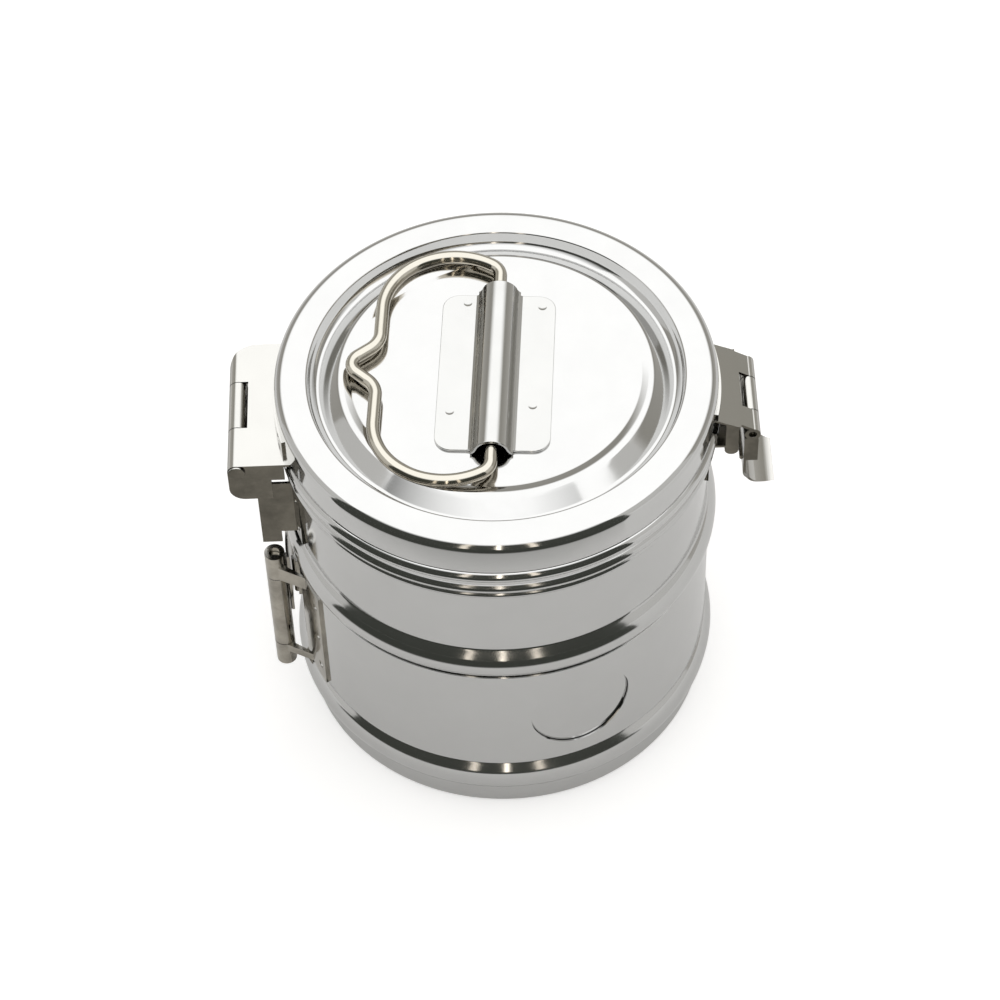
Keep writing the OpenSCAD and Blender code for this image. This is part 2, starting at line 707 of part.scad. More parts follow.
module latch_bracket() color(steel)
    difference() {
        union() {
            ring(lid_r - over / 2, lid_r + latch_sheet, plate_low + proud, plate_low + latch_flange_h,
                -latch_flange_a, latch_flange_a);
            slab_y(-latch_y - latch_sheet, latch_y + latch_sheet)
                polygon([[lid_r * 0.9, plate_low], [lid_r * 0.9, plate_low + latch_sheet],
                    [latch_bracket_x, plate_low + latch_sheet], [latch_x + 0.4, latch_z + latch_r],
                    [latch_x, latch_z + latch_r - latch_sheet], [latch_bracket_x - 0.4, plate_low]]);
            for (y = [-latch_y - latch_sheet, latch_y])
                slab_y(y, y + latch_sheet)
                    translate([lid_edge_r + cheek_gap, plate_low - latch_cheek_h + latch_sheet])
                        square([latch_bracket_x - lid_edge_r - cheek_gap, latch_cheek_h]);
            for (way = [-1, 1])
                rod_y(latch_x, latch_z, latch_r, min(way * latch_y, way * (latch_knuckle / 2 + knuckle_gap / 2)),
                    max(way * latch_y, way * (latch_knuckle / 2 + knuckle_gap / 2)));
        }
        cylinder(r = lid_r, h = lid_top);
        translate([latch_x - latch_r - 0.5, -latch_knuckle / 2 - knuckle_gap / 2, latch_z - latch_d()])
            cube([3 * latch_r, latch_knuckle + knuckle_gap, 2 * latch_d()]);
        for (y = [-latch_y - 2 * over, latch_y])
            translate([latch_bracket_x, y, latch_z - latch_d()])
                cube([3 * latch_r, 2 * over, 2 * latch_d()]);
        rod_y(latch_x, latch_z, latch_pin_d / 2 + pin_gap, -latch_y - 2 * over, latch_y + 2 * over);
        for (a = latch_welds_at)
            radial(a, plate_low + latch_flange_h * 0.6, weld_r, lid_r - over, lid_r + latch_sheet + over);
    }

function latch_d() = 2 * latch_r;

module latch_bracket_welds() color(weld_steel)
    for (a = latch_welds_at)
        round_weld(a, plate_low + latch_flange_h * 0.6, lid_r, lid_r + latch_sheet);

module latch_pin() color(warm_steel)
    rod_y(latch_x, latch_z, latch_pin_d / 2, -latch_y + pin_sink, latch_y - pin_sink);

// Section of the lever: a flat hanging plate that curls outward at the finger tab.
module lever_section() {
    top = latch_z - latch_r - 0.6;
    low = latch_z - latch_flat;
    outer = concat([[lever_x, top]], arc([lever_x + tab_r, low], tab_r, 180, 180 + tab_angle, fine));
    sheet(outer, latch_sheet);
}

module latch_lever() color(bright_steel) {
    top = latch_z - latch_r - 0.6;
    snap_z = keeper_z - keeper_d / 2 - 2;
    difference() {
        union() {
            intersection() {
                slab_y(-latch_lever_y, latch_lever_y)
                    lever_section();
                lever_plan();
            }
            for (y = [-latch_lever_y, latch_lever_y - latch_sheet])
                slab_y(y, y + latch_sheet)
                    translate([lever_x, top - latch_side_h])
                        square([latch_side_w, latch_side_h]);
            rod_y(latch_x, latch_z, latch_r, -latch_knuckle / 2 + knuckle_gap / 2, latch_knuckle / 2 - knuckle_gap / 2);
            slab_y(-latch_knuckle / 2 + knuckle_gap / 2, latch_knuckle / 2 - knuckle_gap / 2)
                translate([lever_x, top - 2])
                    square([latch_sheet, latch_z - top + 2]);
            intersection() {
                rod_y(lever_x + 1.2 - snap_rise, snap_z, 1.2, -keeper_w / 2, keeper_w / 2);
                translate([lever_x - snap_rise, -keeper_w, snap_z - 2])
                    cube([snap_rise + latch_sheet / 2, 2 * keeper_w, 4]);
            }
        }
        rod_y(latch_x, latch_z, latch_pin_d / 2 + pin_gap, -latch_y, latch_y);
    }
}

// The lever seen along X: full width above, then a narrower tab with rounded corners.
module lever_plan() {
    low = latch_z - latch_flat;
    end = low - tab_r;
    round_r = tab_r / 2;
    rotate([90, 0, 90])
        linear_extrude(2 * latch_x) {
            translate([-latch_lever_y, low])
                square([latch_lever_w, latch_flat]);
            polygon([[-latch_lever_y, low], [-tab_w / 2, end + round_r], [tab_w / 2, end + round_r],
                [latch_lever_y, low]]);
            for (way = [-1, 1])
                translate([way * (tab_w / 2 - round_r), end + round_r])
                    circle(r = round_r);
            translate([-tab_w / 2 + round_r, end])
                square([tab_w - 2 * round_r, round_r + proud]);
        }
}

module latch_keeper() color(steel)
    difference() {
        union() {
            ring(drum_r - over / 2, drum_r + latch_sheet, keeper_top - keeper_h, keeper_top,
                -keeper_a() - keeper_ear, keeper_a() + keeper_ear);
            rod_y(keeper_x, keeper_z, keeper_d / 2, -keeper_w / 2, keeper_w / 2);
            slab_y(-keeper_w / 2, keeper_w / 2)
                translate([drum_r * 0.9, keeper_z + keeper_d / 2 - latch_sheet - proud])
                    square([keeper_x - drum_r * 0.9, latch_sheet]);
        }
        translate([0, 0, keeper_z - 3 * keeper_d])
            cylinder(r = drum_r, h = 6 * keeper_d);
        for (w = keeper_weld_spots())
            radial(w[0], w[1], weld_r, drum_r - over, drum_r + latch_sheet + over);
    }

function keeper_a() = keeper_w / 2 / drum_r * 180 / PI;
function keeper_weld_spots() = [for (way = [-1, 1]) [way * (keeper_a() + keeper_ear * 0.4), keeper_z - latch_sheet]];

module keeper_welds() color(weld_steel)
    for (w = keeper_weld_spots())
        round_weld(w[0], w[1], drum_r, drum_r + latch_sheet);

drum_shell();
vent_band();
clasp_leaf();
clasp_lever();
clasp_pin();
clasp_catch();
clasp_welds();
lid_shell();
handle_saddle();
saddle_welds();
handle_wire();
hinge_lid_leaf();
hinge_lid_welds();
hinge_body_bracket();
hinge_body_welds();
hinge_pin();
latch_bracket();
latch_bracket_welds();
latch_pin();
latch_lever();
latch_keeper();
keeper_welds();
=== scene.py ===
import json
import math

import bmesh
import bpy
from mathutils import Matrix, Vector


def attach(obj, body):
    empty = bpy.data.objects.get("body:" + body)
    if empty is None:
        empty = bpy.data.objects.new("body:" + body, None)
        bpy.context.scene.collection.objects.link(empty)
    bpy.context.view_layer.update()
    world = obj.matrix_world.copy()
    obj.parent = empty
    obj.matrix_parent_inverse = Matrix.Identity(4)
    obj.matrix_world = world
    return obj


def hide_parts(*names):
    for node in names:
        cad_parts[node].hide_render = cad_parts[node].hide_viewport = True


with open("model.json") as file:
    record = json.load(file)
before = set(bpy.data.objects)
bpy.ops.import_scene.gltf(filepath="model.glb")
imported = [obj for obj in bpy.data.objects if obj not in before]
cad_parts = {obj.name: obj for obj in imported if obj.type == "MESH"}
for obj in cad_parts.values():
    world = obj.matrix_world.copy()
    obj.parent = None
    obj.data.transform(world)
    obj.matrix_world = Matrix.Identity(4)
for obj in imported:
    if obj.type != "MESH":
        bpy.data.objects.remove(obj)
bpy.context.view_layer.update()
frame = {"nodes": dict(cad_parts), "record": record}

mm = 0.001
up = Vector((0, 0, 1))
plainWhite = (1, 1, 1, 1)


def rotation(angle, axis="Z", size=3):
    return Matrix.Rotation(math.radians(angle), size, axis)


# the view of the photograph: looking down from the front with a long lens
viewSettings = {"elevation": 51.5, "distance": 1.2, "target": (-0.0002, 0.0, 0.0861), "roll": -2.11,
    "lens": 118.21, "sensor": 36, "nearest": 0.01}


def addCamera(s):
    tilt = math.radians(s["elevation"])
    target = Vector(s["target"])
    place = target + s["distance"] * Vector((0, -math.cos(tilt), math.sin(tilt)))
    forward = (target - place).normalized()
    right = forward.cross(up).normalized()
    right = rotation(-s["roll"], forward) @ right
    top = right.cross(forward)
    data = bpy.data.cameras.new("frontCamera")
    data.lens = s["lens"]
    data.sensor_width = s["sensor"]
    data.sensor_fit = "HORIZONTAL"
    data.clip_start = s["nearest"]
    cam = bpy.data.objects.new("frontCamera", data)
    cam.matrix_world = Matrix((
        (right.x, top.x, -forward.x, place.x),
        (right.y, top.y, -forward.y, place.y),
        (right.z, top.z, -forward.z, place.z),
        (0, 0, 0, 1)))
    bpy.context.scene.collection.objects.link(cam)
    bpy.context.scene.camera = cam


addCamera(viewSettings)
bpy.context.scene.view_settings.view_transform = "Standard"
print("camera set")


def linear(code):
    parts = [int(code[i:i + 2], 16) / 255 for i in (1, 3, 5)]
    return tuple(c / 12.92 if c <= 0.04045 else ((c + 0.055) / 1.055) ** 2.4 for c in parts) + (1,)


def addNode(tree, kind, settings=None, values=None, links=None):
    # one node, its settings, its unlinked inputs and the outputs that feed it
    n = tree.nodes.new(kind)
    for key, value in (settings or {}).items():
        setattr(n, key, value)
    for key, value in (values or {}).items():
        n.inputs[key].default_value = value
    for key, source in (links or {}).items():
        tree.links.new(source, n.inputs[key])
    return n


def addMix(tree, low, high, factor):
    # a colour between two fixed ones
    n = addNode(tree, "ShaderNodeMix", {"data_type": "RGBA"}, links={"Factor": factor})
    n.inputs["A"].default_value = low
    n.inputs["B"].default_value = high
    return n


def newMaterial(name):
    m = bpy.data.materials.new(name)
    m.use_nodes = True
    m.node_tree.nodes.clear()
    return m, m.node_tree


def objectFrom(bm, name):
    # turns a finished bmesh into an object of the scene
    mesh = bpy.data.meshes.new(name)
    bm.to_mesh(mesh)
    bm.free()
    obj = bpy.data.objects.new(name, mesh)
    bpy.context.scene.collection.objects.link(obj)
    return obj


# studio, in metres and degrees

studioSettings = {
    "floor": "#E9E8E6",           # matt white paper
    "floorHalf": 4.0,
    "floorLift": 0.42,            # for the camera and partly for steel, shadows stay
    "steelShare": 0.12,
    "fibre": (900.0, 0.05, 0.0002),  # scale, strength and depth of the paper's grain
    "sky": 0.95,                  # soft light on everything matt
    "ceiling": 1.66,              # what polished steel sees above it
    # the room under the ceiling: sine of the height angle, colour
    "room": ((0.0, (0.34, 0.33, 0.31)), (0.52, (0.23, 0.222, 0.2)), (0.69, (1, 1, 1))),
    "dark": "#474944",
    "front": (-75.0, 54.0),       # the dark front runs between these angles
    "frontRadius": 3.0,
    "frontFade": (42.0, 56.0),    # it fades into the light between these height angles
    "frontLight": 1.5,
    "tableEdge": (0.184, 0.218),  # the table falls off into the dark between these distances
    "tableEnd": 2.9,
    "tableHeight": 0.0005,
    # slit lamps on the front: turn, width, strength
    "slits": ((-1.6, 2.0, 3.2), (-16.2, 3.2, 1.5), (13.2, 3.2, 1.5)),
    "slitTone": "#FFF4E4",
    "slitRadius": 2.8,
    "slitHeights": (-2, 50),
    # pale walls beside the dark front: turns
    "walls": ((-114.0, -75.0), (54.0, 94.0)),
    "pale": "#DEDDDA",
    "wallRadius": 3.1,
    "wallTop": 44,
}


def setRamp(ramp, stops):
    # stops are positions and colours in rising order
    first, *between, last = stops
    for element, (place, tone) in zip(ramp.elements, (first, last)):
        element.position = place
        element.color = tone + (1,)
    for place, tone in between:
        ramp.elements.new(place).color = tone + (1,)


def seenStraight(t, path):
    # 1 for what the camera sees, also through something clear
    return addNode(t, "ShaderNodeMath", {"operation": "MAXIMUM"},
        links={0: path.outputs["Is Camera Ray"], 1: path.outputs["Is Transmission Ray"]})


def buildWorld(s):
    # camera and see-through rays meet plain white, matt surfaces an even sky,
    # and polished steel a light ceiling over a low grey room
    world = bpy.data.worlds.new("whiteStudio")
    bpy.context.scene.world = world
    world.use_nodes = True
    t = world.node_tree
    t.nodes.clear()
    path = addNode(t, "ShaderNodeLightPath")
    coord = addNode(t, "ShaderNodeTexCoord")
    parts = addNode(t, "ShaderNodeSeparateXYZ", links={0: coord.outputs["Generated"]})
    room = addNode(t, "ShaderNodeValToRGB", links={0: parts.outputs["Z"]})
    setRamp(room.color_ramp, s["room"])
    white = addNode(t, "ShaderNodeBackground", values={"Color": plainWhite, "Strength": 1.0})
    sky = addNode(t, "ShaderNodeBackground", values={"Color": plainWhite, "Strength": s["sky"]})
    tent = addNode(t, "ShaderNodeBackground", values={"Strength": s["ceiling"]},
        links={"Color": room.outputs["Color"]})
    seen = seenStraight(t, path)
    lit = addNode(t, "ShaderNodeMixShader",
        links={0: path.outputs["Is Glossy Ray"], 1: sky.outputs[0], 2: tent.outputs[0]})
    both = addNode(t, "ShaderNodeMixShader",
        links={0: seen.outputs[0], 1: lit.outputs[0], 2: white.outputs[0]})
    addNode(t, "ShaderNodeOutputWorld", links={"Surface": both.outputs[0]})


def buildFloor(s):
    # white paper that keeps the shadow, lifted to white for the camera
    bm = bmesh.new()
    bmesh.ops.create_grid(bm, x_segments=8, y_segments=8, size=s["floorHalf"])
    floor = objectFrom(bm, "paperFloor")
    m, t = newMaterial("mattWhitePaper")
    scale, strength, depth = s["fibre"]
    path = addNode(t, "ShaderNodeLightPath")
    coord = addNode(t, "ShaderNodeTexCoord")
    fibre = addNode(t, "ShaderNodeTexNoise", values={"Scale": scale, "Detail": 3.0},
        links={"Vector": coord.outputs["Object"]})
    bump = addNode(t, "ShaderNodeBump", values={"Strength": strength, "Distance": depth},
        links={"Height": fibre.outputs["Fac"]})
    paper = addNode(t, "ShaderNodeBsdfDiffuse", values={"Color": linear(s["floor"])},
        links={"Normal": bump.outputs[0]})
    lift = addNode(t, "ShaderNodeEmission", values={"Color": plainWhite, "Strength": s["floorLift"]})
    lifted = addNode(t, "ShaderNodeAddShader", links={0: paper.outputs[0], 1: lift.outputs[0]})
    seen = seenStraight(t, path)
    share = addNode(t, "ShaderNodeMath", {"operation": "MULTIPLY_ADD"},
        values={1: s["steelShare"]}, links={0: path.outputs["Is Glossy Ray"], 2: seen.outputs[0]})
    mix = addNode(t, "ShaderNodeMixShader",
        links={0: share.outputs[0], 1: paper.outputs[0], 2: lifted.outputs[0]})
    addNode(t, "ShaderNodeOutputMaterial", links={"Surface": mix.outputs[0]})
    floor.data.materials.append(m)


def addCard(name, build, tone, strength=1.0):
    # a card of the studio that only polished steel sees
    bm = bmesh.new()
    build(bm)
    card = objectFrom(bm, name)
    m, t = newMaterial(name)
    glow = addNode(t, "ShaderNodeEmission", values={"Color": linear(tone), "Strength": strength})
    addNode(t, "ShaderNodeOutputMaterial", links={"Surface": glow.outputs[0]})
    card.data.materials.append(m)
    card.visible_camera = False
    card.visible_diffuse = False
    card.visible_transmission = False
    card.visible_shadow = False
    return card


def cardNode(card, kind):
    return [n for n in card.active_material.node_tree.nodes if n.type == kind][0]


def fadeFront(card, low, high, light):
    # the card keeps its own tone up to one height and reaches the light at another
    t = card.active_material.node_tree
    glow = cardNode(card, "EMISSION")
    coord = addNode(t, "ShaderNodeTexCoord")
    height = addNode(t, "ShaderNodeSeparateXYZ", links={0: coord.outputs["Object"]})
    rise = addNode(t, "ShaderNodeMapRange", values={"From Min": low, "From Max": high},
        links={"Value": height.outputs["Z"]})
    tone = addMix(t, glow.inputs["Color"].default_value, (light, light, light, 1), rise.outputs[0])
    t.links.new(tone.outputs["Result"], glow.inputs["Color"])


def fadeTable(card, near, far):
    # clear close to the drum, solid past the table's edge
    t = card.active_material.node_tree
    out = cardNode(card, "OUTPUT_MATERIAL")
    glow = cardNode(card, "EMISSION")
    coord = addNode(t, "ShaderNodeTexCoord")
    away = addNode(t, "ShaderNodeVectorMath", {"operation": "LENGTH"}, links={0: coord.outputs["Object"]})
    fall = addNode(t, "ShaderNodeMapRange", values={"From Min": near, "From Max": far},
        links={"Value": away.outputs["Value"]})
    clear = addNode(t, "ShaderNodeBsdfTransparent")
    mix = addNode(t, "ShaderNodeMixShader",
        links={0: fall.outputs[0], 1: clear.outputs[0], 2: glow.outputs[0]})
    t.links.new(mix.outputs[0], out.inputs["Surface"])


def curvedScreen(bm, radius, left, right, low, high, steps=24):
    # a screen round the object, between two turns and two height angles
    tilt = math.radians(low)
    start = bm.verts.new((0, -radius * math.cos(tilt), radius * math.sin(tilt)))
    bmesh.ops.spin(bm, geom=[start], cent=(0, 0, 0), axis=(-1, 0, 0),
        angle=math.radians(high - low), steps=steps)
    edges = list(bm.edges)
    verts = list(bm.verts)
    bmesh.ops.rotate(bm, verts=verts, cent=(0, 0, 0), matrix=rotation(left))
    bmesh.ops.spin(bm, geom=edges + verts, cent=(0, 0, 0), axis=(0, 0, 1),
        angle=math.radians(right - left), steps=steps * 2)


def tableFront(bm, s):
    # the room in front of the table, as a fan on the floor past its edge
    left, right = s["front"]
    start = bm.verts.new((0, -s["tableEdge"][0], s["tableHeight"]))
    end = bm.verts.new((0, -s["tableEnd"], s["tableHeight"]))
    edge = bm.edges.new((start, end))
    bmesh.ops.rotate(bm, verts=[start, end], cent=(0, 0, 0), matrix=rotation(left))
    bmesh.ops.spin(bm, geom=[start, end, edge], cent=(0, 0, 0), axis=(0, 0, 1),
        angle=math.radians(right - left), steps=48)


def buildCards(s):
    left, right = s["front"]
    radius, top = s["frontRadius"], s["frontFade"][1]
    front = addCard("darkFront", lambda bm: curvedScreen(bm, radius, left, right, 0, top), s["dark"])
    low, high = [radius * math.sin(math.radians(angle)) for angle in s["frontFade"]]
    fadeFront(front, low, high, s["frontLight"])
    table = addCard("darkTableFront", lambda bm: tableFront(bm, s), s["dark"])
    fadeTable(table, *s["tableEdge"])
    for start, end in s["walls"]:
        addCard("paleWall",
            lambda bm: curvedScreen(bm, s["wallRadius"], start, end, 0, s["wallTop"], 12), s["pale"])
    for turn, wide, strength in s["slits"]:
        start, end = turn - wide / 2, turn + wide / 2
        addCard("slitLamp",
            lambda bm: curvedScreen(bm, s["slitRadius"], start, end, *s["slitHeights"], 6),
            s["slitTone"], strength)


buildWorld(studioSettings)
buildFloor(studioSettings)
buildCards(studioSettings)
print("studio built")


# steel finishes

steelSettings = {
    # name: colour, roughness, stretch of the grain along each axis, grain size and wave depth in mm,
    # and, where given, the painted shade colour of its upright faces, darker than its tops
    "drum_steel": {"tone": "#C9C9C8", "rough": 0.07, "stretch": (1, 1, 0.05), "grain": 0.9, "wave": 0.010},
    "band_steel": {"tone": "#CACAC9", "rough": 0.06, "stretch": (1, 1, 0.05), "grain": 0.9, "wave": 0.008},
    "lid_steel": {"tone": "#CECECD", "rough": 0.06, "stretch": (1, 1, 1), "grain": 0.8, "wave": 0.006},
    "saddle_steel": {"tone": "#CCCCCA", "rough": 0.08, "stretch": (1, 0.06, 1), "grain": 0.7, "wave": 0.006},
    "fitting_steel": {"tone": "#CDCCC8", "rough": 0.08, "stretch": (1, 0.08, 1), "grain": 0.6, "wave": 0.010,
        "sides": "#67635A"},
    "clasp_steel": {"tone": "#CDCCC8", "rough": 0.10, "stretch": (1, 1, 0.08), "grain": 0.6, "wave": 0.010,
        "sides": "#A39E94"},
    "wire_steel": {"tone": "#CDC9BE", "rough": 0.07, "stretch": (1, 1, 1), "grain": 0.5, "wave": 0.008,
        "sides": "#ADA698"},
    "pin_steel": {"tone": "#B9B4A8", "rough": 0.16, "stretch": (1, 0.1, 1), "grain": 0.5, "wave": 0.006,
        "sides": "#6B665C"},
    "weld_steel": {"tone": "#A8A39A", "rough": 0.34, "stretch": (1, 1, 1), "grain": 0.4, "wave": 0.03},
}

# what all finishes share, sizes in millimetres
buffSettings = {
    "grainBump": (0.02, 0.03),    # strength and depth
    "grainShare": 0.5,            # part of the roughness that follows the grain
    "waveSize": 26.0,
    "waveStrength": 0.5,
    "markSize": 14.0,
    "markRange": (0.42, 0.7),     # noise values between which a mark comes in
    "markDull": 1.7,              # roughness in a mark, against the clean sheet's
    "markTint": 0.93,             # colour in a mark, against the clean sheet's
    "sideRange": (0.15, 0.85),    # a face is a side below the first upward tilt, a top past the second
    "cloudRange": (0.38, 0.66),   # noise values between which the painted shade on the sides varies in patches and how far, against its own colour
    "cloudTints": (0.82, 1.35),   # and how far, against its own colour
}


def addNoise(t, size, detail, rough, place):
    # patches of about this size in millimetres
    return addNode(t, "ShaderNodeTexNoise",
        values={"Scale": 1000 / size, "Detail": detail, "Roughness": rough}, links={"Vector": place})


def scaleTone(tone, factor):
    return tuple(c * factor for c in tone[:3]) + (1,)


def paintSideShade(t, code, colour, coord, marks, b):
    # painted shade: upright faces get a darker colour than tops, standing in for the darker reflections they
    # show, varied in patches
    low, high = b["sideRange"]
    facing = addNode(t, "ShaderNodeSeparateXYZ", links={0: coord.outputs["Normal"]})
    lift = addNode(t, "ShaderNodeMapRange", {"interpolation_type": "SMOOTHSTEP"},
        values={"From Min": low, "From Max": high}, links={"Value": facing.outputs["Z"]})
    low, high = b["cloudRange"]
    clouds = addNode(t, "ShaderNodeMapRange", values={"From Min": low, "From Max": high},
        links={"Value": marks.outputs["Fac"]})
    dark, light = [scaleTone(linear(code), tint) for tint in b["cloudTints"]]
    patchyPaintedShade = addMix(t, dark, light, clouds.outputs[0])
    sides = addNode(t, "ShaderNodeMix", {"data_type": "RGBA"},
        links={"Factor": lift.outputs[0], "A": patchyPaintedShade.outputs["Result"], "B": colour})
    return sides.outputs["Result"]


def polishedSteel(name, s, b):
    # chromium steel sheet, buffed: sharp reflections with a faint buffing grain,
    # slow waves from the press, and duller handling marks
    m, t = newMaterial(name)
    coord = addNode(t, "ShaderNodeTexCoord")
    place = coord.outputs["Object"]
    turned = addNode(t, "ShaderNodeMapping", values={"Scale": s["stretch"]}, links={"Vector": place})
    grain = addNoise(t, s["grain"], 3.0, 0.6, turned.outputs[0])
    waves = addNoise(t, b["waveSize"], 1.0, 0.3, place)
    marks = addNoise(t, b["markSize"], 5.0, 0.65, place)
    low, high = b["markRange"]
    smear = addNode(t, "ShaderNodeMapRange",
        values={"From Min": low, "From Max": high,
            "To Min": s["rough"], "To Max": s["rough"] * b["markDull"]},
        links={"Value": marks.outputs["Fac"]})
    rough = addNode(t, "ShaderNodeMath", {"operation": "MULTIPLY_ADD"},
        values={1: s["rough"] * b["grainShare"]}, links={0: grain.outputs["Fac"], 2: smear.outputs[0]})
    base = linear(s["tone"])
    colour = addMix(t, base, scaleTone(base, b["markTint"]), marks.outputs["Fac"]).outputs["Result"]
    # upright faces get a painted shade where the finish gives a side colour
    if "sides" in s:
        colour = paintSideShade(t, s["sides"], colour, coord, marks, b)
    strength, depth = b["grainBump"]
    fine = addNode(t, "ShaderNodeBump", values={"Strength": strength, "Distance": depth * mm},
        links={"Height": grain.outputs["Fac"]})
    slow = addNode(t, "ShaderNodeBump", values={"Strength": b["waveStrength"], "Distance": s["wave"] * mm},
        links={"Height": waves.outputs["Fac"], "Normal": fine.outputs[0]})
    steel = addNode(t, "ShaderNodeBsdfPrincipled", values={"Metallic": 1.0},
        links={"Base Color": colour, "Roughness": rough.outputs[0], "Normal": slow.outputs[0]})
    addNode(t, "ShaderNodeOutputMaterial", links={"Surface": steel.outputs[0]})
    return m


finishes = {name: polishedSteel(name, s, buffSettings) for name, s in steelSettings.items()}
slotOf = {}
for entry in frame["record"]["materials"]:
    for node in entry.get("nodes", []):
        slotOf[node] = entry["slot"]
for node, obj in frame["nodes"].items():
    finish = finishes[slotOf.get(node, "drum_steel")]
    if not obj.material_slots:
        obj.data.materials.append(finish)
    for slot in obj.material_slots:
        slot.material = finish
print("finishes made", len(finishes))


# tools for spun and bent sheet, in millimetres

def finishPiece(bm, name, finish, body, stands, sharp=40):
    bmesh.ops.scale(bm, vec=(mm, mm, mm), verts=bm.verts)
    for face in bm.faces:
        face.smooth = True
    piece = objectFrom(bm, name)
    piece.data.set_sharp_from_angle(angle=math.radians(sharp))
    piece.data.materials.append(finishes[finish])
    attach(piece, body)
    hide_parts(*stands)
    return piece


def vertsOf(geom):
    return [g for g in geom if isinstance(g, bmesh.types.BMVert)]


def penStart(bm, r, z):
    return bm.verts.new((r, 0, z))


def penStops(bm, last, stops):
    for stop in stops:
        new = bm.verts.new(stop)
        bm.edges.new((last, new))
        last = new
    return last


def penLine(bm, last, r, z, hold=1.3):
    # a straight run, with short end parts that keep its middle flat in reflections
    end = Vector((r, 0, z))
    run = end - last.co
    if run.length <= 3 * hold:
        return penStops(bm, last, [end])
    part = run.normalized() * hold
    return penStops(bm, last, [last.co + part, end - part, end])


def penFlat(bm, last, x, z, first, second):
    # a level run with a stop this far from each of its ends
    return penStops(bm, last, [(place, 0, z) for place in (last.co.x + first, x - second, x)])


def penArc(bm, last, r, z, angle, steps):
    # an arc about (r, z); a positive angle turns from +X towards +Z
    made = bmesh.ops.spin(bm, geom=[last], cent=(r, 0, z), axis=(0, -1, 0),
        angle=math.radians(angle), steps=steps)
    return vertsOf(made["geom_last"])[0]


def arcRadius(rise, wide):
    # of the circle through both edges and the crest
    return (wide * wide / 4 + rise * rise) / (2 * rise)


def penBead(bm, last, wall, z, rise, wide, steps, hold=1.3):
    # an outward bead on a wall, entered from below
    radius = arcRadius(rise, wide)
    half = math.degrees(math.atan2(wide / 2, radius - rise))
    last = penLine(bm, last, wall, z - wide / 2, hold)
    return penArc(bm, last, wall + rise - radius, z, 2 * half, steps)


def penHollow(bm, last, wall, sheet, z, rise, wide, steps):
    # the inside of a bead, entered from above on the inner face of the wall
    radius = arcRadius(rise, wide)
    centre = wall + rise - radius
    half = math.degrees(math.acos((wall - sheet - centre) / (radius - sheet)))
    last = penLine(bm, last, wall - sheet, z + (radius - sheet) * math.sin(math.radians(half)))
    return penArc(bm, last, centre, z, -2 * half, steps)


def closeTurns(bm):
    bmesh.ops.remove_doubles(bm, verts=bm.verts, dist=0.0005)
    bmesh.ops.recalc_face_normals(bm, faces=bm.faces)


def spinRound(bm, steps):
    # turns the outline right round
    bmesh.ops.spin(bm, geom=bm.verts[:] + bm.edges[:], cent=(0, 0, 0), axis=(0, 0, 1),
        angle=math.radians(360), steps=steps, use_merge=True)
    closeTurns(bm)


def roundOff(bm, geom, size, segments, affect="EDGES", clamp=False):
    bmesh.ops.bevel(bm, geom=geom, offset=size, offset_type="OFFSET", segments=segments,
        affect=affect, profile=0.5, material=-1, clamp_overlap=clamp)


def creases(bm, angle):
    return [e for e in bm.edges if e.is_manifold and e.calc_face_angle() > math.radians(angle)]


def softenRings(bm, corners):
    # rounds the creases that run round at the given radius and height
    for r, z, size, segments in corners:
        on = {v for v in bm.verts if abs(math.hypot(v.co.x, v.co.y) - r) < 0.02 and abs(v.co.z - z) < 0.02}
        roundOff(bm, [e for e in bm.edges if on.issuperset(e.verts)], size, segments)


def faceOut(bm, probe):
    # turns the shell if the face nearest the probe looks at the axis
    near = min(bm.faces, key=lambda f: (f.calc_center_median() - Vector(probe)).length)
    away = near.calc_center_median()
    away.z = 0
    if near.normal.dot(away) < 0:
        bmesh.ops.reverse_faces(bm, faces=bm.faces)


def subtractShape(piece, bm, sharp):
    # cuts the shape in bm out of a piece
    bmesh.ops.scale(bm, vec=(mm, mm, mm), verts=bm.verts)
    cutter = objectFrom(bm, "cutter")
    cut = piece.modifiers.new("cut", "BOOLEAN")
    cut.operation = "DIFFERENCE"
    cut.object = cutter
    cut.solver = "EXACT"
    bpy.context.view_layer.update()
    done = bpy.data.meshes.new_from_object(piece.evaluated_get(bpy.context.evaluated_depsgraph_get()))
    piece.modifiers.remove(cut)
    piece.data = done
    bpy.data.objects.remove(cutter)
    for face in done.polygons:
        face.use_smooth = True
    done.set_sharp_from_angle(angle=math.radians(sharp))


def boreRound(piece, spots, wall, size, reach, sides):
    # round holes through a curved wall; each spot is a turn and a height
    bm = bmesh.new()
    for turn, z in spots:
        made = bmesh.ops.create_cone(bm, cap_ends=True, segments=sides,
            radius1=size / 2, radius2=size / 2, depth=reach)
        place = rotation(turn, "Z", 4) @ Matrix.Translation((wall, 0, z)) @ rotation(90, "Y", 4)
        bmesh.ops.transform(bm, matrix=place, verts=made["verts"])
    subtractShape(piece, bm, 40)


# drum

drumSettings = {"wall": 75.0, "sheet": 0.8, "around": 256, "edge": 3.0,
    # the base: height of its raised middle, radius where that ends and where the foot ring starts
    "recess": 2.0, "recessEnd": 58.0, "footStart": 62.0, "recessSoft": (1.2, 3), "footSoft": (1.0, 3),
    # beads and ridges: height, rise, width
    "beads": ((18.5, 3.4, 15.0), (88.5, 3.4, 15.0)), "beadSoft": (0.7, 3),
    "ridges": ((129.4, 1.7, 3.4), (134.0, 3.0, 5.4)), "ridgeHold": 0.4,
    # the neck and the step under it, outside and inside
    "neck": 74.2, "mouth": 149.0, "step": 137.5, "innerStep": (137.1, 136.3),
    # vent holes behind the band
    "ventRings": 2, "ventPitch": 7.0, "ventHole": 3.6, "ventTurn": -37.3, "ventHeight": 53.5,
    "ventReach": 8, "ventSides": 20}


